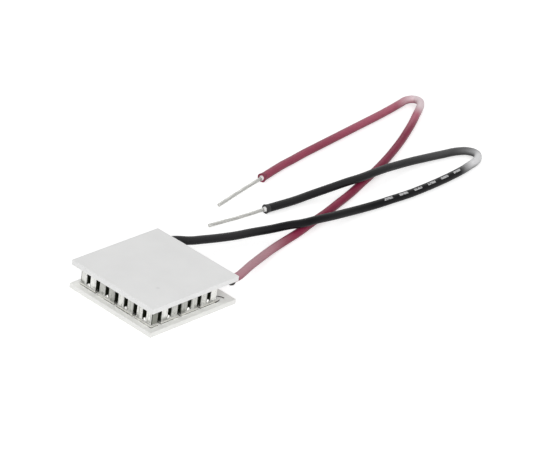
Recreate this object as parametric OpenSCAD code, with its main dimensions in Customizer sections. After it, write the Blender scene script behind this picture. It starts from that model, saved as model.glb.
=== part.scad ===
// Thermoelectric cooling module with two free leads.
// Two ceramic plates hold an eight by eight grid of semiconductor legs between
// them. Copper tabs on the facing sides of the plates join the legs in one series
// chain. Two corners of the lead side of the grid have no leg: there the upper
// plate carries a pad with the lead soldered under it.
//
// Frame: X points the way the leads leave, Z points up, and the origin is the
// middle of the lower plate's underside. Millimetres throughout.

/* [Ceramic plates] */
// Plate size along X
plate_w = 15; // [14:0.5:25]
// Plate size along Y
plate_d = 15; // [14:0.5:25]
// Thickness of each plate
plate_t = 0.7; // [0.4:0.05:1.5]

/* [Legs] */
// Side of a leg's square section
leg_w = 1.0; // [0.7:0.05:1.3]
// Height of a leg
leg_h = 2.0; // [1.4:0.1:3.5]
// Distance between the middles of two neighbouring legs
leg_pitch = 1.72; // [1.6:0.02:1.8]

/* [Copper tabs and solder] */
// Thickness of a copper tab
tab_t = 0.3; // [0.15:0.05:0.5]
// How far a tab stands out beyond its legs on every side
tab_margin = 0.1; // [0.04:0.02:0.2]
// Thickness of the solder between a tab and a leg
solder_t = 0.05; // [0.02:0.01:0.1]

/* [Leads] */
// Outer diameter of a lead's jacket
jacket_d = 1.15; // [1:0.05:1.2]
// Diameter of the tinned conductor
wire_d = 0.5; // [0.4:0.05:0.6]
// Gap between the plates' edge and the start of a jacket
jacket_standoff = 0.4; // [0.2:0.1:0.8]
// Length of the red lead's stripped end
red_strip_l = 10.5; // [6:0.5:11]
// Length of the black lead's stripped end
black_strip_l = 9.5; // [6:0.5:10]

/* [Lead joints] */
// Largest diameter of the solder bead around a conductor
bead_d = 1.15; // [1:0.05:1.2]
// Length of the bead's straight middle
bead_l = 1; // [0.8:0.05:1.1]
// Length of each tapered end of a bead
bead_taper_l = 0.35; // [0.2:0.05:0.45]
// Solder film between a conductor and its pad
bead_film_t = 0.05; // [0.03:0.01:0.1]

/* [Hidden] */

// The grid: rows run along X and are counted along Y, and columns are counted
// along X. The leads leave from the last column, in the first and the last row.
rows = 8;
columns = 8;
red_row = 1;
black_row = rows;

tab_w = leg_w + 2 * tab_margin;
lower_tab_z = plate_t;
lower_solder_z = lower_tab_z + tab_t;
leg_z = lower_solder_z + solder_t;
upper_solder_z = leg_z + leg_h;
upper_tab_z = upper_solder_z + solder_t;
upper_plate_z = upper_tab_z + tab_t;

// The conductor runs just below the underside of its pad.
lead_z = upper_tab_z - bead_film_t - wire_d / 2;
lead_exit_x = plate_w / 2 + jacket_standoff;
// Clear space between the conductor's inner end and the leg beside the pad
tail_gap = 0.3;
tail_start_x = column_x(columns - 1) + leg_w / 2 + tail_gap;
// Radius of a bead's two ends
bead_end_r = wire_d / 2 + 0.1;
round_fn = 48;
// Sides of the jackets' section
jacket_sides = 8;

// Middle of a column along X, and of a row along Y
function column_x(i) = (i - (columns + 1) / 2) * leg_pitch;
function row_y(j) = (j - (rows + 1) / 2) * leg_pitch;

// Only the two pads of the leads have no leg.
function has_leg(i, j) = !(i == columns && (j == red_row || j == black_row));
function is_p(i, j) = (i + j) % 2 == 0;

// Where a lead's jacket starts, level with its pad
function lead_exit(row) = [lead_exit_x, row_y(row), lead_z];

// Routes of the two jackets' middle lines, from the module to the cut end. Each
// lead comes down to the surface that the module stands on and lies in one long
// narrow loop. The black lead passes over the red one twice.
red_route = [
    lead_exit(red_row),
    [9.2, -5.9, 2.8], [10.6, -5.4, 2.7], [13, -4.3, 2.3], [15.5, -3.1, 1.7],
    [18, -2, 1.2], [21, -0.9, 0.8], [24, -0.1, 0.6], [27.5, 0.6, 0.6],
    [31, 1.5, 0.6], [34.5, 2.3, 0.6], [38, 3.3, 0.6], [41.5, 4.3, 0.6],
    [45, 5.5, 0.6], [48, 6.5, 0.6], [51, 7.6, 0.6], [54, 8.8, 0.6],
    [57, 10.1, 0.6], [60, 11.5, 0.6], [62.8, 12.9, 0.7], [65.3, 14.2, 0.85],
    [67.4, 15.4, 1], [69, 16.3, 1.1], [70.3, 17.2, 1.1], [71.2, 18.3, 1],
    [71.2, 19.4, 0.8], [70.3, 19.9, 0.7], [68.9, 19.8, 0.6], [67.3, 19.5, 0.6],
    [63, 18.8, 0.6], [60, 18.4, 0.6], [57, 18, 0.6], [54, 17.6, 0.6],
    [51, 17.2, 0.6], [48, 16.8, 0.6], [45, 16.4, 0.6], [42, 15.9, 0.6],
    [39.4, 15.5, 0.6], [36.9, 14.9, 0.68], [34.3, 14.4, 0.6]
];
black_route = [
    lead_exit(black_row),
    [9.4, 5.6, 2.6], [11, 5, 2.3], [13.5, 4.6, 1.9], [16, 4.3, 1.5],
    [18.5, 3.8, 1.3], [21, 3.2, 1.3], [23.5, 2.2, 1.5], [26, 1.2, 1.8],
    [28, 0.6, 1.8], [30.5, 0.2, 1.8], [33.5, 0.2, 1.4], [36.5, 0.3, 1],
    [39.5, 0.3, 0.7], [42.5, 0.1, 0.6], [45.5, -0.1, 0.6], [48.5, -0.3, 0.6],
    [51.5, -0.3, 0.6], [54.5, -0.2, 0.6], [57.5, 0, 0.6], [60.3, 0.3, 0.6],
    [62.5, 0.7, 0.6], [64.3, 1.1, 0.6], [65.6, 1.8, 0.6], [66.2, 2.7, 0.6],
    [65.8, 3.8, 0.6], [64.5, 4.6, 0.6], [61.9, 5.2, 0.6], [58.5, 5.7, 0.7],
    [55.5, 5.9, 0.9], [52.5, 5.8, 1.2], [49.7, 5.5, 1.6], [47, 5.3, 1.8],
    [44.5, 5.3, 1.8], [42, 5.6, 1.7], [39, 6.2, 1.3], [36, 6.8, 0.9],
    [33.3, 7.1, 0.7], [30.7, 7.35, 0.68], [28.2, 7.7, 0.6]
];

function unit(v) = v / norm(v);

// Direction of a route at one of its points
function heading(route, k) =
    let (last = len(route) - 1)
    k == 0 ? [1, 0, 0]
    : k == last ? unit(route[last] - route[last - 1])
    : unit(unit(route[k + 1] - route[k]) + unit(route[k] - route[k - 1]));

// Corners of the section that stands square to a route at one of its points
function section(route, k, r, sides) =
    let (
        ahead = heading(route, k),
        side = unit(cross(ahead, [0, 0, 1])),
        up = cross(side, ahead)
    )
    [for (s = [0 : sides - 1])
        let (turn = 360 * (s + 0.5) / sides)
        route[k] + r * (cos(turn) * side + sin(turn) * up)];

// A tube with closed ends along a route
module swept_tube(route, d, sides) {
    count = len(route);
    corners = [for (k = [0 : count - 1]) each section(route, k, d / 2, sides)];
    walls = [
        for (k = [0 : count - 2], s = [0 : sides - 1])
            let (
                a = k * sides + s,
                b = k * sides + (s + 1) % sides
            )
            each [[a, b, b + sides], [a, b + sides, a + sides]]
    ];
    start_cap = [[for (s = [sides - 1 : -1 : 0]) s]];
    end_cap = [[for (s = [0 : sides - 1]) (count - 1) * sides + s]];
    polyhedron(points = corners, faces = concat(start_cap, walls, end_cap), convexity = 10);
}

// Rod whose axis runs from a point along a direction
module rod_from(start, ahead, d, l) {
    tilt = acos(ahead[2]);
    turn = atan2(ahead[1], ahead[0]);
    translate(start)
        rotate([0, tilt, turn])
            cylinder(d = d, h = l, $fn = round_fn);
}

module plate(z) {
    translate([-plate_w / 2, -plate_d / 2, z])
        cube([plate_w, plate_d, plate_t]);
}

module lower_plate() {
    color("whitesmoke") plate(0);
}

module upper_plate() {
    color("whitesmoke") plate(upper_plate_z);
}

// Tab over the grid places from one corner to the other
module tab(first, last, z) {
    low = [column_x(first[0]), row_y(first[1])];
    high = [column_x(last[0]), row_y(last[1])];
    translate([low[0] - tab_w / 2, low[1] - tab_w / 2, z])
        cube([high[0] - low[0] + tab_w, high[1] - low[1] + tab_w, tab_t]);
}

// Lower tabs along a row join columns 2-3, 4-5 and 6-7.
module lower_tabs_row(j) {
    color("silver")
        for (i = [2 : 2 : columns - 2])
            tab([i, j], [i + 1, j], lower_tab_z);
}

// Tabs at the two outer columns run along Y and carry the chain to the next row.
module lower_tabs_outer_column() {
    color("silver")
        for (j = [1 : 2 : rows - 1])
            tab([1, j], [1, j + 1], lower_tab_z);
}

module lower_tabs_lead_column() {
    color("silver")
        for (j = [2 : 2 : rows - 2])
            tab([columns, j], [columns, j + 1], lower_tab_z);
}

// Upper tabs join columns 1-2, 3-4, 5-6 and 7-8. In the two lead rows the last
// of them is the lead's pad.
module upper_tabs_row(j) {
    pad_row = j == red_row || j == black_row;
    color("silver")
        for (i = [1 : 2 : columns - (pad_row ? 3 : 1)])
            tab([i, j], [i + 1, j], upper_tab_z);
}

module lead_pad(j) {
    color("silver") tab([columns - 1, j], [columns, j], upper_tab_z);
}

module legs_row(j, p_type) {
    for (i = [1 : columns])
        if (has_leg(i, j) && is_p(i, j) == p_type)
            translate([column_x(i) - leg_w / 2, row_y(j) - leg_w / 2, leg_z])
                cube([leg_w, leg_w, leg_h]);
}

module p_legs_row(j) {
    color("gainsboro") legs_row(j, true);
}

module n_legs_row(j) {
    color("darkgray") legs_row(j, false);
}

// Thin solder between the legs and the tabs of one plate
module solder_layers(z) {
    color("lightgray")
        for (j = [1 : rows], i = [1 : columns])
            if (has_leg(i, j))
                translate([column_x(i) - leg_w / 2, row_y(j) - leg_w / 2, z])
                    cube([leg_w, leg_w, solder_t]);
}

module lower_solder_layers() {
    solder_layers(lower_solder_z);
}

module upper_solder_layers() {
    solder_layers(upper_solder_z);
}

// Solder bead that hangs under a pad around the conductor
module lead_solder(row) {
    end_x = column_x(columns) - bead_l / 2 - bead_taper_l;
    full_l = bead_l + 2 * bead_taper_l;
    color("lightgray")
        difference() {
            translate([end_x, row_y(row), lead_z])
                rotate([0, 90, 0]) {
                    cylinder(r1 = bead_end_r, d2 = bead_d, h = bead_taper_l, $fn = round_fn);
                    translate([0, 0, bead_taper_l])
                        cylinder(d = bead_d, h = bead_l, $fn = round_fn);
                    translate([0, 0, bead_taper_l + bead_l])
                        cylinder(d1 = bead_d, r2 = bead_end_r, h = bead_taper_l, $fn = round_fn);
                }
            translate([end_x - 1, row_y(row), lead_z])
                rotate([0, 90, 0])
                    cylinder(d = wire_d, h = full_l + 2, $fn = round_fn);
            translate([end_x - 1, row_y(row) - bead_d, upper_tab_z])
                cube([full_l + 2, 2 * bead_d, bead_d]);
        }
}

// Bared conductor between its pad and the start of the jacket
module lead_tail(row) {
    color("silver")
        rod_from([tail_start_x, row_y(row), lead_z], [1, 0, 0], wire_d, lead_exit_x - tail_start_x);
}

module lead_stripped_end(route, l) {
    last = len(route) - 1;
    color("silver") rod_from(route[last], heading(route, last), wire_d, l);
}

module red_lead_jacket() {
    color("crimson") swept_tube(red_route, jacket_d, jacket_sides);
}

module black_lead_jacket() {
    color("black") swept_tube(black_route, jacket_d, jacket_sides);
}

lower_plate();
upper_plate();
for (j = [1 : rows]) {
    lower_tabs_row(j);
    upper_tabs_row(j);
    p_legs_row(j);
    n_legs_row(j);
}
lower_tabs_outer_column();
lower_tabs_lead_column();
lead_pad(red_row);  // red_lead_pad
lead_pad(black_row);  // black_lead_pad
lower_solder_layers();
upper_solder_layers();
lead_solder(red_row);  // red_lead_solder
lead_solder(black_row);  // black_lead_solder
lead_tail(red_row);  // red_lead_tail
lead_tail(black_row);  // black_lead_tail
red_lead_jacket();
black_lead_jacket();
lead_stripped_end(red_route, red_strip_l);  // red_lead_stripped_end
lead_stripped_end(black_route, black_strip_l);  // black_lead_stripped_end
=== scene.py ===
"""Looks of the thermoelectric cooling module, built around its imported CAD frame.

The plates, tabs and legs are the CAD nodes with worn edges and node materials.
The solder, the lead joints and both leads are modelled here and replace their
plain CAD solids. The cut jacket ends, the scorched collars and the threads of
flux are added to them. Lengths are in metres, and MM turns millimetres into metres.
"""

import math
import random

import bmesh
import bpy
from mathutils import Matrix, Vector


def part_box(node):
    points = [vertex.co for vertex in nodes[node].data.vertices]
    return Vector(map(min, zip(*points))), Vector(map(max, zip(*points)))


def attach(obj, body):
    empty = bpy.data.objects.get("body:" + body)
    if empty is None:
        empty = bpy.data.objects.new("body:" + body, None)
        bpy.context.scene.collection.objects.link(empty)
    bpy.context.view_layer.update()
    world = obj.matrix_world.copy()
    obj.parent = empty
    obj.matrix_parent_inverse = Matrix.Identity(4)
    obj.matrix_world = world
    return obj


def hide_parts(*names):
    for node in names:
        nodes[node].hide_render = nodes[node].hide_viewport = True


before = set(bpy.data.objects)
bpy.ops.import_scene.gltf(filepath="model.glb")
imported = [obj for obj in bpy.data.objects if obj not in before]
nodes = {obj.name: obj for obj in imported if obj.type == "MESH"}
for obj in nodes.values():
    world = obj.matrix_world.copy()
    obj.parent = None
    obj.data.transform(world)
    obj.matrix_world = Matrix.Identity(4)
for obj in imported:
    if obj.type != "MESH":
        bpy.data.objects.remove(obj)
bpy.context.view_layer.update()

MM = 0.001

# Camera: a long lens that looks down on the corner where the first row meets the
# first column, slightly rolled. Lens and sensor are in millimetres.
CAMERA_AZIMUTH = math.radians(-49.02)
CAMERA_ELEVATION = math.radians(28.11)
CAMERA_ROLL = math.radians(7.63)
CAMERA_DISTANCE = 371.2 * MM
CAMERA_RIGHT_OF_ORIGIN = 14.942 * MM
CAMERA_ABOVE_ORIGIN = 8.998 * MM
SENSOR_WIDTH = 36
LENS = 194.6
CLIP_START = 10 * MM

# Leads: diameters, lengths of the bared ends and how far these bow sideways
JACKET_D = 1.15 * MM
WIRE_D = 0.5 * MM
RED_STRIP_L = 10.5 * MM
BLACK_STRIP_L = 9.5 * MM
RED_BOW = 0.04 * MM
BLACK_BOW = -0.12 * MM


def metres(points):
    """Points given in millimetres as vectors in metres."""
    return [Vector(p) * MM for p in points]


RED_ROUTE = metres([
    (7.9, -6.02, 2.8),
    (9.2, -5.9, 2.8), (10.6, -5.4, 2.7), (13, -4.3, 2.3), (15.5, -3.1, 1.7),
    (18, -2, 1.2), (21, -0.9, 0.8), (24, -0.1, 0.6), (27.5, 0.6, 0.6),
    (31, 1.5, 0.6), (34.5, 2.3, 0.6), (38, 3.3, 0.6), (41.5, 4.3, 0.6),
    (45, 5.5, 0.6), (48, 6.5, 0.6), (51, 7.6, 0.6), (54, 8.8, 0.6),
    (57, 10.1, 0.6), (60, 11.5, 0.6), (62.8, 12.9, 0.7), (65.3, 14.2, 0.85),
    (67.4, 15.4, 1), (69, 16.3, 1.1), (70.3, 17.2, 1.1), (71.2, 18.3, 1),
    (71.2, 19.4, 0.8), (70.3, 19.9, 0.7), (68.9, 19.8, 0.6), (67.3, 19.5, 0.6),
    (63, 18.8, 0.6), (60, 18.4, 0.6), (57, 18, 0.6), (54, 17.6, 0.6),
    (51, 17.2, 0.6), (48, 16.8, 0.6), (45, 16.4, 0.6), (42, 15.9, 0.6),
    (39.4, 15.5, 0.6), (36.9, 14.9, 0.68), (34.3, 14.4, 0.6),
])
BLACK_ROUTE = metres([
    (7.9, 6.02, 2.8),
    (9.4, 5.6, 2.6), (11, 5, 2.3), (13.5, 4.6, 1.9), (16, 4.3, 1.5),
    (18.5, 3.8, 1.3), (21, 3.2, 1.3), (23.5, 2.2, 1.5), (26, 1.2, 1.8),
    (28, 0.6, 1.8), (30.5, 0.2, 1.8), (33.5, 0.2, 1.4), (36.5, 0.3, 1),
    (39.5, 0.3, 0.7), (42.5, 0.1, 0.6), (45.5, -0.1, 0.6), (48.5, -0.3, 0.6),
    (51.5, -0.3, 0.6), (54.5, -0.2, 0.6), (57.5, 0, 0.6), (60.3, 0.3, 0.6),
    (62.5, 0.7, 0.6), (64.3, 1.1, 0.6), (65.6, 1.8, 0.6), (66.2, 2.7, 0.6),
    (65.8, 3.8, 0.6), (64.5, 4.6, 0.6), (61.9, 5.2, 0.6), (58.5, 5.7, 0.7),
    (55.5, 5.9, 0.9), (52.5, 5.8, 1.2), (49.7, 5.5, 1.6), (47, 5.3, 1.8),
    (44.5, 5.3, 1.8), (42, 5.6, 1.7), (39, 6.2, 1.3), (36, 6.8, 0.9),
    (33.3, 7.1, 0.7), (30.7, 7.35, 0.68), (28.2, 7.7, 0.6),
])

# A faint scuff on top of the upper plate
SCUFF = Vector((-3.3, -3.9, 4.1)) * MM

# Jackets: a deep and a pale colour of the body, then the colours of the painted
# sheen and of the painted highlight laid into it
RED_BODY = ((0.19, 0.014, 0.042), (0.25, 0.022, 0.062))
RED_PAINTED_SHEEN = (0.98, 0.4, 0.5)
RED_PAINTED_HIGHLIGHT = (0.78, 0.64, 0.67)
BLACK_BODY = ((0.002, 0.002, 0.003), (0.006, 0.006, 0.007))
BLACK_PAINTED_HIGHLIGHT = (0.74, 0.74, 0.75)

# Points beside the leads' tight far bends, where the painted highlight on their jackets is
# brightest
RED_BEND = Vector((72.0, 16.4, 1.0)) * MM
BLACK_BEND = Vector((64.9, -0.7, 0.6)) * MM

# Along X: where the painted sheen on each lead's first stretch is over, and up to
# where it is full
RED_FIRST_STRETCH = (27 * MM, 18 * MM)
BLACK_FIRST_STRETCH = (26 * MM, 18 * MM)

# Along X: from where the painted sheen on each lead's way back grows, and where it is most
RED_WAY_BACK = (46 * MM, 69 * MM)
BLACK_WAY_BACK = (48 * MM, 68 * MM)

# The line between the red lead's way out and its way back rises by this much in
# Y per X
RED_DIVIDE_SLOPE = 0.2

# Threads of flux beside the first row's last leg, X and Y in millimetres
FLUX_THREADS = (
    ((4.95, -5.62), (5.4, -5.53), (5.9, -5.66), (6.22, -6.0), (6.36, -6.45)),
    ((4.6, -6.68), (5.0, -6.63), (5.5, -6.5)),
)
THREAD_R = 0.05 * MM
THREAD_STEPS = 12
THREAD_ROUNDNESS = 2

# Plain dashes on the black lead: the side that they face, their pitch, the share of
# it that each fills, the stretch along X that they cover, how soft its ends are, the
# Y below which the lead is on its way out, and how pale they show
DASH_SIDE = Vector((-0.12, -0.34, 0.93)).normalized()
DASH_PITCH = 2.9 * MM
DASH_SHARE = 0.55
DASHES_FROM = 43 * MM
DASHES_TO = 61 * MM
DASHES_FADE = 0.2 * MM
WAY_OUT_BELOW_Y = 2 * MM
DASH_STRENGTH = 0.45

# Tones of the legs' outer faces, 0 dark and 1 pale: along the first row from the
# first column on, and along the first column from the first row on. The first row
# has seven legs, the first column eight.
FIRST_ROW_TONES = (0.08, 0.95, 0.5, 0.44, 0.56, 0.66, 0.9)
FIRST_COLUMN_TONES = (0.92, 0.86, 0.52, 0.88, 0.42, 0.52, 0.97, 0.8)

# Colour of the painted shade between the plates and along the tabs' feet, also laid on
# the corner legs' outer edges
PAINTED_SHADE_DARK = (0.022, 0.026, 0.016)

# Widths of the worn edges
PLATE_WEAR = 0.04 * MM
TAB_WEAR = 0.05 * MM
LEG_WEAR = 0.025 * MM

# The grid of legs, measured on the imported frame
ROWS = 8
COLUMNS = 8
outer_tabs_low, outer_tabs_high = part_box("lower_tabs_outer_column")
lead_tabs_low, lead_tabs_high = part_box("lower_tabs_lead_column")
first_legs_low, first_legs_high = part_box("p_legs_row_1")
TAB_W = outer_tabs_high.x - outer_tabs_low.x
LEG_W = first_legs_high.y - first_legs_low.y
TAB_MARGIN = (TAB_W - LEG_W) / 2
FIRST_COLUMN_X = (outer_tabs_low.x + outer_tabs_high.x) / 2
LAST_COLUMN_X = (lead_tabs_low.x + lead_tabs_high.x) / 2
PITCH = (LAST_COLUMN_X - FIRST_COLUMN_X) / (COLUMNS - 1)
LOWER_TAB_TOP = outer_tabs_high.z
UPPER_TAB_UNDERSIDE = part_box("upper_tabs_row_1")[0].z
LEG_BOTTOM = first_legs_low.z
SOLDER_T = LEG_BOTTOM - LOWER_TAB_TOP
LEG_FIELD_HALF = -first_legs_low.y
LOWER_PLATE_TOP = outer_tabs_low.z


def column_x(i):
    """Middle of a column of legs along X."""
    return FIRST_COLUMN_X + (i - 1) * PITCH


def row_y(j):
    """Middle of a row of legs along Y."""
    return (j - (ROWS + 1) / 2) * PITCH


# ---------------------------------------------------------------- camera


def make_camera():
    """Places the camera from its angles and its offsets from the origin."""
    a, e = CAMERA_AZIMUTH, CAMERA_ELEVATION
    back = Vector((math.sin(a) * math.cos(e), -math.cos(a) * math.cos(e), math.sin(e)))
    level_right = Vector((math.cos(a), math.sin(a), 0))
    level_up = back.cross(level_right)
    right = math.cos(CAMERA_ROLL) * level_right + math.sin(CAMERA_ROLL) * level_up
    up = back.cross(right)
    place = (
        right * CAMERA_RIGHT_OF_ORIGIN
        + up * CAMERA_ABOVE_ORIGIN
        + back * CAMERA_DISTANCE
    )
    data = bpy.data.cameras.new("camera")
    data.sensor_fit = "HORIZONTAL"
    data.sensor_width = SENSOR_WIDTH
    data.lens = LENS
    data.clip_start = CLIP_START
    camera = bpy.data.objects.new("camera", data)
    axes = Matrix((right, up, back)).transposed().to_4x4()
    camera.matrix_world = Matrix.Translation(place) @ axes
    bpy.context.scene.collection.objects.link(camera)
    bpy.context.scene.camera = camera


# ---------------------------------------------------------------- materials


class Finish:
    """A node material in the making, with short calls for the nodes used here."""

    def __init__(self, name, **inputs):
        self.material = bpy.data.materials.new(name)
        self.material.use_nodes = True
        self.tree = self.material.node_tree
        self.shader = self.tree.nodes["Principled BSDF"]
        for key, value in inputs.items():
            self.shader.inputs[key.replace("_", " ")].default_value = value
        self.place = self.tree.nodes.new("ShaderNodeTexCoord").outputs["Object"]

    def node(self, kind, links=None, **settings):
        """A new node: settings are its properties or its sockets' values."""
        made = self.tree.nodes.new(kind)
        for key, value in settings.items():
            if hasattr(made, key):
                setattr(made, key, value)
            else:
                made.inputs[key.replace("_", " ")].default_value = value
        for socket, source in (links or {}).items():
            self.tree.links.new(source, made.inputs[socket])
        return made

    def link(self, output, socket):
        """Leads an output to one of the shader's sockets."""
        self.tree.links.new(output, self.shader.inputs[socket])

    def axis(self, name):
        """One of the object's coordinates, X, Y or Z."""
        return self.node("ShaderNodeSeparateXYZ", {"Vector": self.place}).outputs[name]

    def math(self, operation, first, second=0.0):
        """A calculation on two outputs, or on an output and a plain value."""
        made = self.node("ShaderNodeMath", operation=operation)
        for socket, value in zip(made.inputs, (first, second)):
            if isinstance(value, (int, float)):
                socket.default_value = value
            else:
                self.tree.links.new(value, socket)
        return made.outputs["Value"]

    def product(self, first, *others):
        """The product of outputs, or of outputs and plain values."""
        for other in others:
            first = self.math("MULTIPLY", first, other)
        return first

    def from_middle(self, operation):
        """The larger (MAXIMUM) or smaller (MINIMUM) of the sizes of X and Y."""
        across = [self.math("ABSOLUTE", self.axis(name)) for name in "XY"]
        return self.math(operation, *across)

    def fade(self, value, start, end):
        """0 up to start and 1 from end on, smooth between them."""
        return self.node(
            "ShaderNodeMapRange",
            {"Value": value},
            interpolation_type="SMOOTHSTEP",
            From_Min=start,
            From_Max=end,
        ).outputs["Result"]

    def facing(self, direction):
        """1 where the surface faces a direction, -1 where it faces away."""
        normal = self.node("ShaderNodeNewGeometry").outputs["Normal"]
        made = self.node("ShaderNodeVectorMath", {0: normal}, operation="DOT_PRODUCT")
        made.inputs[1].default_value = direction
        return made.outputs["Value"]

    def near(self, point, full, none):
        """1 within one distance of a point, 0 beyond another."""
        distance = self.node(
            "ShaderNodeVectorMath", {0: self.place}, operation="DISTANCE"
        )
        distance.inputs[1].default_value = point
        return self.fade(distance.outputs["Value"], none, full)

    def inside(self, depth):
        """Mask of painted shade: 0 at the outer faces of the outer legs, 1 from a depth
        behind them on.
        """
        return self.fade(
            self.from_middle("MAXIMUM"), LEG_FIELD_HALF - 0.02 * MM, LEG_FIELD_HALF - depth
        )

    def corner(self):
        """1 on the outer upright edges of the four corner legs."""
        return self.fade(
            self.from_middle("MINIMUM"),
            LEG_FIELD_HALF - 0.12 * MM,
            LEG_FIELD_HALF - 0.04 * MM,
        )

    def leg_tones(self, axis, first, tones):
        """One tone per leg along an axis, given the middle of its first leg."""
        along = self.span(self.axis(axis), 0.0, 1.0)
        along.node.inputs["From Min"].default_value = first - PITCH / 2
        along.node.inputs["From Max"].default_value = first + (len(tones) - 0.5) * PITCH
        steps = [(k / len(tones), (tone, tone, tone)) for k, tone in enumerate(tones)]
        stepped = self.ramp(along, steps)
        stepped.node.color_ramp.interpolation = "CONSTANT"
        return stepped

    def smudge(self, low, high):
        """Patches of flux between two heights: 1 at the lower, 0 at the upper."""
        patches = self.fade(self.noise(0.8 * MM, detail=4, roughness=0.6), 0.44, 0.6)
        return self.product(self.fade(self.axis("Z"), high, low), patches)

    def stretched(self, scale):
        """The object's coordinates, scaled by axis."""
        mapping = self.node("ShaderNodeMapping", {"Vector": self.place})
        mapping.inputs["Scale"].default_value = scale
        return mapping.outputs["Vector"]

    def noise(self, size, detail=3.0, roughness=0.5, place=None):
        """Noise whose features are about size metres across."""
        return self.node(
            "ShaderNodeTexNoise",
            {"Vector": place or self.place},
            Scale=1 / size,
            Detail=detail,
            Roughness=roughness,
        ).outputs["Fac"]

    def ramp(self, factor, stops):
        """A colour ramp through (position, colour) stops."""
        made = self.node("ShaderNodeValToRGB", {"Fac": factor})
        elements = made.color_ramp.elements
        while len(elements) < len(stops):
            elements.new(0.5)
        for element, (position, colour) in zip(elements, stops):
            element.position = position
            element.color = (*colour, 1)
        return made.outputs["Color"]

    def span(self, factor, low, high):
        """Maps 0..1 to low..high."""
        return self.node(
            "ShaderNodeMapRange", {"Value": factor}, To_Min=low, To_Max=high
        ).outputs["Result"]

    def mix(self, factor, first, second):
        """Mix of two colours, given as outputs or as plain colours."""
        made = self.node("ShaderNodeMix", data_type="RGBA")
        self.tree.links.new(factor, made.inputs["Factor"])
        for socket, colour in ((made.inputs[6], first), (made.inputs[7], second)):
            if isinstance(colour, tuple):
                socket.default_value = (*colour, 1)
            else:
                self.tree.links.new(colour, socket)
        return made.outputs[2]

    def bump(self, *layers):
        """Stacks (height, depth in metres, strength) layers of bump."""
        normal = None
        for height, depth, strength in layers:
            links = {"Height": height}
            if normal:
                links["Normal"] = normal
            normal = self.node(
                "ShaderNodeBump", links, Distance=depth, Strength=strength
            ).outputs["Normal"]
        self.link(normal, "Normal")


def ceramic_finish(name, dull, clean):
    """As-fired alumina: near white, a little mottled, finely grained, scuffed once."""
    f = Finish(name, Specular_IOR_Level=0.15)
    cloud = f.noise(4 * MM, detail=4)
    body = f.ramp(cloud, [(0.3, dull), (0.7, clean)])
    scuff = f.product(f.near(SCUFF, 0.05 * MM, 0.4 * MM), 0.12)
    f.link(f.mix(scuff, body, (0.2, 0.2, 0.19)), "Base Color")
    f.link(f.span(f.noise(1.2 * MM), 0.58, 0.72), "Roughness")
    f.bump((f.noise(0.06 * MM, detail=4, roughness=0.7), 0.004 * MM, 0.5))
    return f.material


def tab_finish():
    """Tinned copper: a pale metal with soft ripples in the tin, and painted shade at its
    feet and inside.
    """
    f = Finish("tinned_copper", Metallic=1)
    patch = f.noise(0.5 * MM, detail=4)
    tin = f.ramp(patch, [(0.3, (0.72, 0.71, 0.67)), (0.7, (0.92, 0.92, 0.89))])
    # Painted shade: a broken dark line along the tabs' feet where they meet the plate, and
    # the tabs behind the outer legs darkened
    foot = f.fade(f.axis("Z"), LOWER_PLATE_TOP + 0.12 * MM, LOWER_PLATE_TOP + 0.05 * MM)
    patchy_foot_shade = f.span(f.fade(f.noise(1.3 * MM, detail=3), 0.36, 0.56), 0.35, 1.0)
    dark = f.math("MAXIMUM", f.product(foot, patchy_foot_shade), f.inside(0.7 * MM))
    f.link(f.mix(dark, tin, PAINTED_SHADE_DARK), "Base Color")
    f.link(f.span(f.noise(0.25 * MM), 0.22, 0.45), "Roughness")
    f.bump((f.noise(0.3 * MM, detail=3), 0.02 * MM, 0.6))
    return f.material


def leg_finish(name, dark, pale):
    """Sawn bismuth telluride: grey metal with upright saw lines, painted shade inside."""
    f = Finish(name, Metallic=0.45, Specular_IOR_Level=0.15)
    lines = f.noise(0.16 * MM, detail=3, roughness=0.6, place=f.stretched((1, 1, 0.05)))
    flecks = f.noise(0.2 * MM, detail=5, roughness=0.65)
    patches = f.noise(0.9 * MM, detail=1, place=f.stretched((1, 1, 0.2)))
    tone = f.fade(patches, 0.24, 0.48)
    for direction, across, middle, axis, first, tones in (
        ((0, -1, 0), "Y", row_y(1.5), "X", column_x(1), FIRST_ROW_TONES),
        ((-1, 0, 0), "X", column_x(1.5), "Y", row_y(1), FIRST_COLUMN_TONES),
    ):
        open_side = f.math("GREATER_THAN", f.facing(direction), 0.5)
        outermost = f.math("LESS_THAN", f.axis(across), middle)
        picked = f.product(open_side, outermost)
        tone = f.mix(picked, tone, f.leg_tones(axis, first, tones))
    body = f.mix(f.fade(tone, 0.0, 1.0), dark, pale)
    marks = f.math("MAXIMUM", f.fade(lines, 0.54, 0.68), f.fade(flecks, 0.55, 0.68))
    marked = f.mix(f.product(marks, 0.6), body, dark)
    foot = f.product(f.smudge(LEG_BOTTOM + 0.1 * MM, LEG_BOTTOM + 0.7 * MM), 0.8)
    # Painted shade on the legs behind the outer faces, and dark outer edges on the corner
    # legs
    shade_and_dark_corners = f.math("MAXIMUM", f.inside(0.16 * MM), f.corner())
    f.link(f.mix(shade_and_dark_corners, f.mix(foot, marked, dark), PAINTED_SHADE_DARK), "Base Color")
    f.link(f.span(flecks, 0.32, 0.55), "Roughness")
    f.bump((lines, 0.012 * MM, 0.6), (flecks, 0.01 * MM, 0.5))
    return f.material


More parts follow.
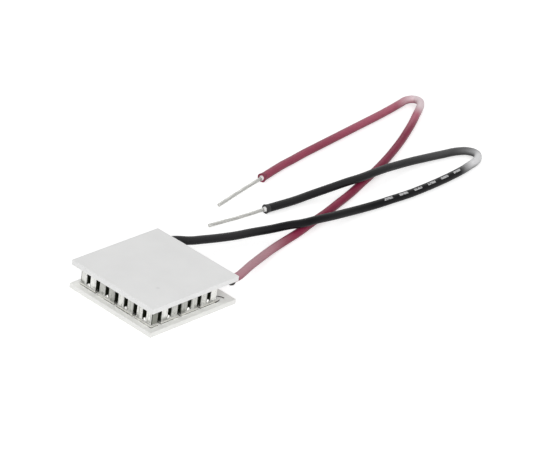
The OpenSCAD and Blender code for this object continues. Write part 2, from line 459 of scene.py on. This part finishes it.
def solder_finish():
    """Bright solder with a slightly frosty skin, under painted shade behind the outer legs.
    """
    f = Finish("solder_metal", Metallic=1)
    frost = f.noise(0.12 * MM, detail=5, roughness=0.6)
    bright = f.ramp(frost, [(0.3, (0.48, 0.478, 0.46)), (0.7, (0.62, 0.617, 0.6))])
    foot = f.product(f.smudge(LOWER_TAB_TOP, LEG_BOTTOM + 0.4 * MM), 0.6)
    stained = f.mix(foot, bright, (0.2, 0.2, 0.18))
    # Painted shade on the solder behind the outer legs
    f.link(f.mix(f.inside(0.7 * MM), stained, PAINTED_SHADE_DARK), "Base Color")
    f.link(f.span(frost, 0.3, 0.5), "Roughness")
    f.bump((f.noise(0.15 * MM, detail=3), 0.012 * MM, 0.5))
    return f.material


def wire_finish():
    """Tinned copper strands run together with solder."""
    f = Finish("tinned_strands", Metallic=1)
    drawn = f.noise(0.1 * MM, detail=3)
    tin = f.ramp(drawn, [(0.3, (0.38, 0.38, 0.36)), (0.7, (0.6, 0.6, 0.58))])
    f.link(tin, "Base Color")
    f.link(f.span(drawn, 0.42, 0.6), "Roughness")
    f.bump((drawn, 0.008 * MM, 0.5))
    return f.material


def jacket_finish(name, body_colours, painted_sheen, painted_highlight):
    """Extruded PVC with a soft gloss, with a painted sheen and highlight, most on top as
    painted top light.

    The painted sheen and the painted highlight are each a pair of a colour and a
    function that takes the finish and returns how much of the colour shows.
    """
    f = Finish(name, Specular_IOR_Level=0.11)
    cloud = f.noise(3 * MM, detail=3)
    deep, pale = body_colours
    body = f.ramp(cloud, [(0.3, deep), (0.7, pale)])
    # Painted top light: the sheen and the highlight show stronger on faces turned up
    painted_top_light = f.span(f.fade(f.facing((0, 0, 1)), -0.6, 0.9), 0.35, 1.45)
    for colour, share in (painted_sheen, painted_highlight):
        body = f.mix(f.product(share(f), painted_top_light), body, colour)
    f.link(body, "Base Color")
    f.link(f.span(f.noise(0.8 * MM, detail=4), 0.34, 0.46), "Roughness")
    f.bump(
        (f.noise(0.5 * MM, detail=2), 0.02 * MM, 0.35),
        (f.noise(0.05 * MM, detail=3), 0.003 * MM, 0.4),
    )
    return f.material


def red_sheen_share(f):
    """Painted sheen on the way back from the bend, most near the bend, and on the stretch at
    the module.
    """
    divide = f.product(f.axis("X"), RED_DIVIDE_SLOPE)
    beyond = f.math("SUBTRACT", f.axis("Y"), divide)
    way_back = f.fade(beyond, -0.4 * MM, 1.6 * MM)
    share = f.span(f.fade(f.axis("X"), *RED_WAY_BACK), 0.08, 0.2)
    first_stretch = f.product(f.fade(f.axis("X"), *RED_FIRST_STRETCH), 0.1)
    return f.math("MAXIMUM", f.product(way_back, share), first_stretch)


def red_highlight_share(f):
    """Painted highlight, strong beside the tight bend and faint near the module."""
    bend = f.near(RED_BEND, 1.4 * MM, 5.8 * MM)
    first_stretch = f.product(f.fade(f.axis("X"), *RED_FIRST_STRETCH), 0.2)
    return f.math("MAXIMUM", bend, first_stretch)


def black_sheen_share(f):
    """Painted sheen: a trace near the module, and on the way back from the bend, most near
    the bend.
    """
    first_stretch = f.product(f.fade(f.axis("X"), *BLACK_FIRST_STRETCH), 0.02)
    share = f.span(f.fade(f.axis("X"), *BLACK_WAY_BACK), 0.014, 0.085)
    way_back = f.product(f.fade(f.axis("Y"), 3 * MM, 5 * MM), share)
    return f.math("MAXIMUM", first_stretch, way_back)


def black_highlight_and_dashes(f):
    """A painted highlight, strong beside the tight bend, with a row of worn dashes."""
    bend = f.product(f.near(BLACK_BEND, 1.2 * MM, 5.7 * MM), 0.85)
    return f.math("MAXIMUM", bend, worn_dashes(f))


def worn_dashes(f):
    """Plain pale dashes along the upper side of the black lead's way out."""
    x = f.axis("X")
    along_pitch = f.math("FRACT", f.math("DIVIDE", x, DASH_PITCH))
    return f.product(
        f.fade(f.facing(DASH_SIDE), 0.925, 0.945),
        f.math("LESS_THAN", f.axis("Y"), WAY_OUT_BELOW_Y),
        f.fade(x, DASHES_FROM - DASHES_FADE, DASHES_FROM),
        f.fade(x, DASHES_TO + DASHES_FADE, DASHES_TO),
        f.math("LESS_THAN", along_pitch, DASH_SHARE),
        f.fade(f.noise(0.5 * MM, detail=4, roughness=0.7), 0.38, 0.5),
        DASH_STRENGTH,
    )


def cut_finish(name, deep, pale):
    """Torn PVC between a deep and a pale colour; on the core round the wire its pale colours
    are a painted highlight.
    """
    f = Finish(name, Roughness=0.6)
    torn = f.noise(0.12 * MM, detail=5, roughness=0.7)
    f.link(f.ramp(torn, [(0.35, deep), (0.6, pale)]), "Base Color")
    f.bump((torn, 0.03 * MM, 0.8))
    return f.material


def flux_finish():
    """Burnt flux: nearly black, uneven and half glossy."""
    f = Finish("burnt_flux", Specular_IOR_Level=0.2)
    crust = f.noise(0.15 * MM, detail=5, roughness=0.65)
    char = f.ramp(crust, [(0.3, (0.012, 0.011, 0.01)), (0.7, (0.05, 0.045, 0.04))])
    f.link(char, "Base Color")
    f.link(f.span(crust, 0.35, 0.6), "Roughness")
    f.bump((crust, 0.02 * MM, 0.6))
    return f.material


# ---------------------------------------------------------------- mesh helpers


def add_piece(name, data, material):
    """Makes a mesh or curve a visible piece that rides on the module."""
    data.materials.append(material)
    piece = bpy.data.objects.new(name, data)
    bpy.context.scene.collection.objects.link(piece)
    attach(piece, "root")
    return piece


def mesh_piece(name, bm, material):
    """Turns a bmesh into a smooth piece."""
    mesh = bpy.data.meshes.new(name)
    bmesh.ops.recalc_face_normals(bm, faces=bm.faces)
    bm.to_mesh(mesh)
    bm.free()
    mesh.shade_smooth()
    return add_piece(name, mesh, material)


def tube(name, lines, radius, steps, roundness, material):
    """Round rods along one smooth curve per line of points, as one piece."""
    data = bpy.data.curves.new(name, "CURVE")
    data.dimensions = "3D"
    data.resolution_u = steps
    data.bevel_depth = radius
    data.bevel_resolution = roundness
    data.use_fill_caps = True
    for line in lines:
        spline = data.splines.new("BEZIER")
        spline.bezier_points.add(len(line) - 1)
        for knot, point in zip(spline.bezier_points, line):
            knot.co = point
            knot.handle_left_type = "AUTO"
            knot.handle_right_type = "AUTO"
    return add_piece(name, data, material)


def dress(node, material):
    """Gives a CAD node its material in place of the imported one."""
    data = nodes[node].data
    data.materials.clear()
    data.materials.append(material)


def wear_edges(node, width, segments=2):
    """Rounds a CAD node's sharp edges a little."""
    bevel = nodes[node].modifiers.new("worn_edges", "BEVEL")
    bevel.width = width
    bevel.segments = segments
    bevel.limit_method = "ANGLE"


def turns(count):
    """The angles of points spread evenly round a circle."""
    return [2 * math.pi * s / count for s in range(count)]


def round_at(turn, side, up):
    """The direction at an angle from side towards up."""
    return math.cos(turn) * side + math.sin(turn) * up


def lofted(rings):
    """A closed bmesh skin over rings of points with as many points each."""
    bm = bmesh.new()
    loops = [[bm.verts.new(p) for p in ring] for ring in rings]
    count = len(loops[0])
    for lower, upper in zip(loops, loops[1:]):
        for s in range(count):
            t = (s + 1) % count
            bm.faces.new((lower[s], lower[t], upper[t], upper[s]))
    bm.faces.new(list(reversed(loops[0])))
    bm.faces.new(loops[-1])
    return bm


def frames_along(path):
    """Point, heading and two cross directions at each point of a path."""
    placed = []
    side = None
    for k, point in enumerate(path):
        ahead = (path[min(k + 1, len(path) - 1)] - path[max(k - 1, 0)]).normalized()
        if side is None:
            side = ahead.cross(Vector((0, 0, 1))).normalized()
        side = (side - side.dot(ahead) * ahead).normalized()
        placed.append((point, ahead, side, side.cross(ahead)))
    return placed


# ---------------------------------------------------------------- leads


# Steps between two points of a route, and roundness of the jacket
JACKET_STEPS = 10
JACKET_ROUNDNESS = 7

# The bared wire's bundle: strands, how far solder fills the grooves between them,
# the length of one twist, and how finely it is drawn
STRANDS = 6
STRAND_R = WIRE_D / 6
GROOVE_FILL_R = 2.75 * STRAND_R
TWIST_L = 16 * MM
POINTS_PER_STRAND = 8
BARED_STEPS = 24
TAIL_STEPS = 8

# A bared wire starts this far inside the jacket, and up to its tip it is this much
# longer than the bared length
BARED_INSIDE = 0.3 * MM
BARED_EXTRA = 0.2 * MM

# The wire's nipped tip: distance past the end and share of the radius
TIP_PROFILE = ((0.06 * MM, 0.86), (0.1 * MM, 0.55))


def strand_radius(turn):
    """Distance of the bundle's skin from its middle line, at an angle round it."""
    off = (turn + math.pi / STRANDS) % (2 * math.pi / STRANDS) - math.pi / STRANDS
    inside = STRAND_R**2 - (2 * STRAND_R * math.sin(off)) ** 2
    lobe = 2 * STRAND_R * math.cos(off) + math.sqrt(max(inside, 0))
    return max(lobe, GROOVE_FILL_R)


def stranded_wire(name, path, material, tip=True):
    """Twisted strands that follow a path, with a nipped tip where asked for."""
    rings = []
    travelled = 0
    placed = frames_along(path)
    for k, (point, _, side, up) in enumerate(placed):
        if k:
            travelled += (point - placed[k - 1][0]).length
        twist = 2 * math.pi * travelled / TWIST_L
        rings.append([
            point + strand_radius(turn) * round_at(turn + twist, side, up)
            for turn in turns(STRANDS * POINTS_PER_STRAND)
        ])
    if tip:
        end, ahead, _, _ = placed[-1]
        last_ring = rings[-1]
        for reach, share in TIP_PROFILE:
            centre = end + reach * ahead
            rings.append([centre + share * (p - end) for p in last_ring])
    return mesh_piece(name, lofted(rings), material)


def bowed_path(start, ahead, length, bow):
    """A nearly straight path that bows sideways and back."""
    side = ahead.cross(Vector((0, 0, 1))).normalized()
    path = []
    for k in range(BARED_STEPS + 1):
        t = k / BARED_STEPS
        sideways = side * bow * math.sin(math.pi * t) ** 2
        path.append(start + ahead * length * t + sideways)
    return path


# Cut end of a jacket: distance past the end and share of the jacket's radius. The
# rings from TORN_FROM on are the torn core, coloured with a painted highlight.
CUT_END_PROFILE = (
    (-0.6 * MM, 1.005),
    (-0.35 * MM, 1.03),
    (-0.14 * MM, 1.1),
    (0.0, 1.16),
    (0.06 * MM, 1.12),
    (0.07 * MM, 0.98),
    (0.02 * MM, 0.84),
    (-0.06 * MM, 0.68),
    (0.06 * MM, 0.62),
    (0.22 * MM, 0.54),
    (0.36 * MM, 0.46),
    (0.1 * MM, 0.4),
)
TORN_FROM = 7
CUT_END_POINTS = 40

# How rough the cut is, from this distance past the end on
CUT_ROUGHNESS = 0.016 * MM
ROUGH_FROM = -0.2 * MM


def cut_end(name, route, lip_material, core_highlight_material):
    """The flared lip where a jacket was cut, with a torn core round the wire, pale with a
    painted highlight.
    """
    end = route[-1]
    ahead = (route[-1] - route[-2]).normalized()
    side = ahead.cross(Vector((0, 0, 1))).normalized()
    up = side.cross(ahead)
    rng = random.Random(name)
    ripple = [rng.uniform(-1, 1) for _ in range(CUT_END_POINTS)]
    rings = []
    for along, share in CUT_END_PROFILE:
        rough = CUT_ROUGHNESS if along > ROUGH_FROM else 0
        ring = []
        for turn, uneven in zip(turns(CUT_END_POINTS), ripple):
            reach = share * JACKET_D / 2 + rough * uneven
            point = end + along * ahead + reach * round_at(turn, side, up)
            point.z = max(point.z, 0)
            ring.append(point)
        rings.append(ring)
    piece = mesh_piece(name, lofted(rings), lip_material)
    piece.data.materials.append(core_highlight_material)
    for face in piece.data.polygons:
        if min(face.vertices) >= TORN_FROM * CUT_END_POINTS:
            face.material_index = 1
    return piece


# Scorched collar at a jacket's start: distance past the start, and radius
COLLAR_PROFILE = (
    (-0.64 * MM, 0.28 * MM),
    (-0.56 * MM, 0.42 * MM),
    (-0.36 * MM, 0.54 * MM),
    (-0.1 * MM, 0.595 * MM),
    (0.06 * MM, 0.6 * MM),
    (0.14 * MM, 0.585 * MM),
    (0.16 * MM, 0.56 * MM),
)
DROP_SAG = 0.45
COLLAR_POINTS = 32
COLLAR_ROUGHNESS = 0.02 * MM


def scorched_collar(name, start, material):
    """The drawn-back start of a jacket, dark with flux that hangs in a drop."""
    rng = random.Random(name)
    rings = []
    for along, radius in COLLAR_PROFILE:
        ring = []
        for turn in turns(COLLAR_POINTS):
            sag = 1 + DROP_SAG * max(0, -math.sin(turn)) ** 2
            reach = radius * sag - rng.uniform(0, COLLAR_ROUGHNESS)
            offset = Vector((along, reach * math.cos(turn), reach * math.sin(turn)))
            ring.append(start + offset)
        rings.append(ring)
    return mesh_piece(name, lofted(rings), material)


# Solder of a lead joint: steps along it and round its underside, and, at its thin
# ends, half its width and its depth below the wire's middle
JOINT_STEPS = 26
JOINT_POINTS = 20
THIN_FOOT = WIRE_D * 0.3
THIN_BELLY = WIRE_D / 2 * 0.75


def lead_joint(name, node, material):
    """The solder that wets a pad and draws in around the conductor under it."""
    low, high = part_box(node)
    middle_y = (low.y + high.y) / 2
    half_w = (high.y - low.y) / 2
    wire_z = high.z - WIRE_D / 2
    rings = []
    for k in range(JOINT_STEPS + 1):
        t = k / JOINT_STEPS
        x = low.x + (high.x - low.x) * t
        swell = math.sin(math.pi * t) ** 0.55
        foot = THIN_FOOT + (half_w * 1.02 - THIN_FOOT) * swell
        belly = THIN_BELLY + (wire_z - low.z - THIN_BELLY) * swell
        ring = []
        for s in range(JOINT_POINTS + 1):
            angle = math.pi * s / JOINT_POINTS
            across = math.cos(angle)
            drawn_in = foot * math.copysign(abs(across) ** 1.7, across)
            hollow = 1 - 0.2 * math.sin(2 * angle) ** 2
            z = high.z - (high.z - wire_z + belly) * math.sin(angle) * hollow
            ring.append(Vector((x, middle_y + drawn_in, z)))
        rings.append(ring)
    piece = mesh_piece(name, lofted(rings), material)
    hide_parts(node)


def tail_path(node):
    """The straight middle line of a lead's bared tail, from its CAD node."""
    low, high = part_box(node)
    y = (low.y + high.y) / 2
    z = (low.z + high.z) / 2
    xs = [low.x + (high.x - low.x) * k / TAIL_STEPS for k in range(TAIL_STEPS + 1)]
    return [Vector((x, y, z)) for x in xs]


# ---------------------------------------------------------------- solder

# Grid steps across a tab: between its legs, in its margins and under each leg
GAP_STEPS = 10
MARGIN_STEPS = 4
UNDER_LEG_STEPS = 2

# Distances below this count as none
NO_DISTANCE = 1e-9


def tab_lines(half_l, leg_middles):
    """Grid lines across a tab: fine in the margins and between the legs."""
    edges = []
    for middle in leg_middles:
        edges += [middle - LEG_W / 2, middle + LEG_W / 2]
    stops = [-half_l, *edges, half_l]
    lines = [stops[0]]
    for k, (low, high) in enumerate(zip(stops, stops[1:])):
        if k % 2 == 1:
            steps = UNDER_LEG_STEPS
        elif k in (0, len(stops) - 2):
            steps = MARGIN_STEPS
        else:
            steps = GAP_STEPS
        lines += [low + (high - low) * s / steps for s in range(1, steps + 1)]
    return lines


def add_solder(bm, first, last, z, upward, rng):
    """The solder on one tab: a skirt round each leg and a saddle between the two."""
    start = Vector((column_x(first[0]), row_y(first[1]), 0))
    end = Vector((column_x(last[0]), row_y(last[1]), 0))
    along = (end - start).normalized()
    across = Vector((-along.y, along.x, 0))
    middle = (start + end) / 2
    half_l = (end - start).length / 2 + TAB_W / 2
    half_gap = (PITCH - LEG_W) / 2
    wall_rise = rng.uniform(0.05, 0.14) * MM
    mound = rng.uniform(0.36, 0.5) * MM
    skirt_rise = rng.uniform(0.06, 0.14) * MM
    us = tab_lines(half_l, (-PITCH / 2, PITCH / 2))
    vs = tab_lines(TAB_W / 2, (0,))

    def height(u, v):
        """Height of the solder at a point along and across the tab."""
        u_wall = abs(abs(u) - PITCH / 2) - LEG_W / 2
        v_wall = abs(v) - LEG_W / 2
        inward = min(half_l - abs(u), TAB_W / 2 - abs(v))
        edge = min(1, inward / TAB_MARGIN)
        if abs(u) < half_gap:
            s = abs(u) / half_gap
            saddle = mound * max(0, 1 - 1.15 * s) ** 0.9 + wall_rise * s**3
            out = max(0, v_wall / TAB_MARGIN)
            return SOLDER_T * edge + saddle * (1 - out) * (0.75 + 0.25 * edge)
        if u_wall <= NO_DISTANCE and v_wall <= NO_DISTANCE:
            return SOLDER_T + skirt_rise / 2
        out = max(u_wall, v_wall, 0) / TAB_MARGIN
        return SOLDER_T * edge + skirt_rise * (1 - min(out, 1)) ** 2

    sign = 1 if upward else -1
    top = []
    for u in us:
        column = []
        for v in vs:
            p = middle + along * u + across * v
            column.append(bm.verts.new((p.x, p.y, z + sign * height(u, v))))
        top.append(column)
    for a, b in zip(top, top[1:]):
        for k in range(len(vs) - 1):
            bm.faces.new((a[k], b[k], b[k + 1], a[k + 1]))
    rim = (
        [column[0] for column in top]
        + top[-1][1:]
        + [column[-1] for column in reversed(top[:-1])]
        + list(reversed(top[0][1:-1]))
    )
    bm.faces.new(rim)


def solder_between_plates(name, z, upward, pairs, replaced, material):
    """All the solder between the legs and one plate's tabs, as one piece."""
    bm = bmesh.new()
    rng = random.Random(name)
    for first, last in pairs:
        add_solder(bm, first, last, z, upward, rng)
    piece = mesh_piece(name, bm, material)
    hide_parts(replaced)


def lower_pairs():
    """The legs that each lower tab joins."""
    pairs = [((1, j), (1, j + 1)) for j in range(1, ROWS, 2)]
    pairs += [((COLUMNS, j), (COLUMNS, j + 1)) for j in range(2, ROWS - 1, 2)]
    for j in range(1, ROWS + 1):
        pairs += [((i, j), (i + 1, j)) for i in range(2, COLUMNS - 1, 2)]
    return pairs


def upper_pairs():
    """The legs that each upper tab joins, without the two lead pads."""
    pairs = []
    for j in range(1, ROWS + 1):
        last = COLUMNS - 3 if j in (1, ROWS) else COLUMNS - 1
        pairs += [((i, j), (i + 1, j)) for i in range(1, last + 1, 2)]
    return pairs


# ---------------------------------------------------------------- build

make_camera()

red_pvc = jacket_finish(
    "red_pvc", RED_BODY, (RED_PAINTED_SHEEN, red_sheen_share), (RED_PAINTED_HIGHLIGHT, red_highlight_share)
)
black_pvc = jacket_finish(
    "black_pvc", BLACK_BODY, (BLACK_PAINTED_HIGHLIGHT, black_sheen_share), (BLACK_PAINTED_HIGHLIGHT, black_highlight_and_dashes)
)
red_lip = cut_finish("red_pvc_lip", (0.12, 0.008, 0.025), (0.26, 0.03, 0.07))
black_lip = cut_finish("black_pvc_lip", (0.004, 0.004, 0.005), (0.03, 0.03, 0.032))
# Painted highlight: the pale torn core stands in for light caught round the wire's root
core_painted_highlight = cut_finish("pvc_torn_core", (0.72, 0.71, 0.7), (0.93, 0.93, 0.92))
strands = wire_finish()
burnt_flux = flux_finish()

for colour, route, pvc, lip_pvc, strip_l, bow in (
    ("red", RED_ROUTE, red_pvc, red_lip, RED_STRIP_L, RED_BOW),
    ("black", BLACK_ROUTE, black_pvc, black_lip, BLACK_STRIP_L, BLACK_BOW),
):
    covering = tube(
        colour + "_lead", [route], JACKET_D / 2, JACKET_STEPS, JACKET_ROUNDNESS, pvc
    )
    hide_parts(colour + "_lead_jacket")
    lip = cut_end(colour + "_jacket_cut_end", route, lip_pvc, core_painted_highlight)
    collar = scorched_collar(colour + "_scorched_collar", route[0], burnt_flux)
    ahead = (route[-1] - route[-2]).normalized()
    bared = stranded_wire(
        colour + "_bared_end",
        bowed_path(route[-1] - ahead * BARED_INSIDE, ahead, strip_l + BARED_EXTRA, bow),
        strands,
    )
    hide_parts(colour + "_lead_stripped_end")
    tail_node = colour + "_lead_tail"
    tail = stranded_wire(colour + "_tail", tail_path(tail_node), strands, tip=False)
    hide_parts(tail_node)

# The lower plate is the same alumina as the upper, painted paler to make up for the shade
# the upper plate casts on it
lower_alumina_painted_light = ceramic_finish("lower_alumina_painted_light", (0.855, 0.855, 0.83), (0.885, 0.885, 0.86))
upper_alumina = ceramic_finish("upper_alumina", (0.808, 0.809, 0.805), (0.838, 0.839, 0.834))
for node, alumina in (("lower_plate", lower_alumina_painted_light), ("upper_plate", upper_alumina)):
    dress(node, alumina)
    wear_edges(node, PLATE_WEAR, segments=3)

tinned_copper = tab_finish()
for node in nodes:
    if "_tabs_" in node or node.endswith("_pad"):
        dress(node, tinned_copper)
        wear_edges(node, TAB_WEAR)

p_metal = leg_finish("p_telluride", (0.24, 0.245, 0.215), (0.9, 0.9, 0.87))
n_metal = leg_finish("n_telluride", (0.2, 0.205, 0.18), (0.86, 0.86, 0.83))
for node in nodes:
    if "_legs_" in node:
        dress(node, p_metal if node.startswith("p_") else n_metal)
        wear_edges(node, LEG_WEAR)

solder = solder_finish()
solder_between_plates(
    "lower_solder", LOWER_TAB_TOP, True, lower_pairs(), "lower_solder_layers", solder
)
solder_between_plates(
    "upper_solder", UPPER_TAB_UNDERSIDE, False, upper_pairs(), "upper_solder_layers", solder
)
for colour in ("red", "black"):
    lead_joint(colour + "_joint", colour + "_lead_solder", solder)
thread_z = LOWER_PLATE_TOP + THREAD_R
threads = [[(x * MM, y * MM, thread_z) for x, y in line] for line in FLUX_THREADS]
tube("flux_threads", threads, THREAD_R, THREAD_STEPS, THREAD_ROUNDNESS, burnt_flux)


# ---------------------------------------------------------------- studio


FLOOR_SIZE = 3.0
FLOOR_GREY = 0.8

# Glow that lifts the lit floor to white where it is seen directly
FLOOR_GLOW = 0.52
WORLD_STRENGTH = 0.5

# Soft boxes: name, place, size in metres and power in watts
LAMPS = (
    ("key", (-0.34, -0.36, 0.3), 0.4, 2.05),
    ("low_front", (-0.36, -0.32, 0.06), 0.1, 0.12),
    ("back", (0.35, 0.3, 0.35), 0.35, 0.5),
)
LAMPS_FACE = (0.03, 0.005, 0.0)


def seen_directly(tree):
    """1 for camera, glossy and transmission rays, else 0."""
    path = tree.nodes.new("ShaderNodeLightPath")
    last = path.outputs["Is Camera Ray"]
    for name in ("Is Glossy Ray", "Is Transmission Ray"):
        larger = tree.nodes.new("ShaderNodeMath")
        larger.operation = "MAXIMUM"
        tree.links.new(last, larger.inputs[0])
        tree.links.new(path.outputs[name], larger.inputs[1])
        last = larger.outputs[0]
    return last


def make_floor():
    """A pale floor that shows white and keeps the object's shadow."""
    bm = bmesh.new()
    bmesh.ops.create_grid(bm, x_segments=1, y_segments=1, size=FLOOR_SIZE / 2)
    mesh = bpy.data.meshes.new("floor")
    bm.to_mesh(mesh)
    bm.free()
    floor = bpy.data.objects.new("floor", mesh)
    bpy.context.scene.collection.objects.link(floor)
    material = bpy.data.materials.new("paper")
    material.use_nodes = True
    tree = material.node_tree
    tree.nodes.clear()
    seen = seen_directly(tree)
    diffuse = tree.nodes.new("ShaderNodeBsdfDiffuse")
    diffuse.inputs["Color"].default_value = (FLOOR_GREY, FLOOR_GREY, FLOOR_GREY, 1)
    glow = tree.nodes.new("ShaderNodeEmission")
    lift = tree.nodes.new("ShaderNodeMath")
    lift.operation = "MULTIPLY"
    lift.inputs[1].default_value = FLOOR_GLOW
    tree.links.new(seen, lift.inputs[0])
    tree.links.new(lift.outputs[0], glow.inputs["Strength"])
    total = tree.nodes.new("ShaderNodeAddShader")
    tree.links.new(diffuse.outputs[0], total.inputs[0])
    tree.links.new(glow.outputs[0], total.inputs[1])
    output = tree.nodes.new("ShaderNodeOutputMaterial")
    tree.links.new(total.outputs[0], output.inputs["Surface"])
    mesh.materials.append(material)


def make_world():
    """Soft even light, which shows as plain white."""
    world = bpy.data.worlds.new("studio")
    bpy.context.scene.world = world
    world.use_nodes = True
    tree = world.node_tree
    tree.nodes.clear()
    seen = seen_directly(tree)
    soft = tree.nodes.new("ShaderNodeBackground")
    soft.inputs["Strength"].default_value = WORLD_STRENGTH
    white = tree.nodes.new("ShaderNodeBackground")
    mixed = tree.nodes.new("ShaderNodeMixShader")
    output = tree.nodes.new("ShaderNodeOutputWorld")
    for background in (soft, white):
        background.inputs["Color"].default_value = (1, 1, 1, 1)
    tree.links.new(seen, mixed.inputs["Fac"])
    tree.links.new(soft.outputs[0], mixed.inputs[1])
    tree.links.new(white.outputs[0], mixed.inputs[2])
    tree.links.new(mixed.outputs[0], output.inputs["Surface"])


def add_lamp(name, place, size, power):
    """A square soft box that faces the object."""
    data = bpy.data.lights.new(name, "AREA")
    data.shape = "SQUARE"
    data.size = size
    data.energy = power
    lamp = bpy.data.objects.new(name, data)
    lamp.location = place
    ahead = Vector(LAMPS_FACE) - Vector(place)
    lamp.rotation_euler = ahead.to_track_quat("-Z", "Y").to_euler()
    bpy.context.scene.collection.objects.link(lamp)


make_floor()
make_world()
for lamp in LAMPS:
    add_lamp(*lamp)

bpy.context.scene.view_settings.view_transform = "Standard"
